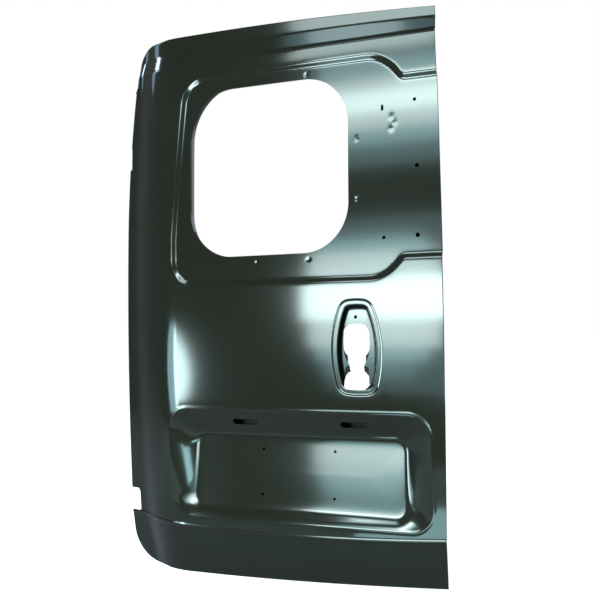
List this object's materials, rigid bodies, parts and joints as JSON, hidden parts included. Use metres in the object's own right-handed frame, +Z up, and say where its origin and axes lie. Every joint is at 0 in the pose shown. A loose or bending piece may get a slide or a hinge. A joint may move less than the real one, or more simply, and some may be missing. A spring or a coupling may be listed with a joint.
{
  "type": "van rear barn door shell",
  "caption": "Bare pressed-steel rear barn door shell of a small van in dark glossy primer, with window opening, handle recess and number plate recess.",
  "frame": {"origin": "middle of the lower hinge seat, the flat face on the hinge wall that a hinge leaf is bolted to", "axes": "+Z up, outer face towards -Y, hinge side towards -X, lock side towards +X"},
  "size_m": [0.8641, 0.1524, 1.3102],
  "materials": {
    "primer_black": "gloss"
  },
  "bodies": {
    "root": {"outer_skin": "primer_black", "plate_recess": "primer_black", "handle_recess": "primer_black", "inner_panel_upper": "primer_black", "inner_panel_lower": "primer_black", "inner_rim_lower": "primer_black", "waist_rail": "primer_black", "handle_reinforcement": "primer_black", "lower_hinge_reinforcement": "primer_black", "upper_hinge_reinforcement": "primer_black", "check_strap_reinforcement": "primer_black", "lock_reinforcement": "primer_black", "upper_latch_reinforcement": "primer_black", "lower_latch_reinforcement": "primer_black"}
  },
  "joints": []
}
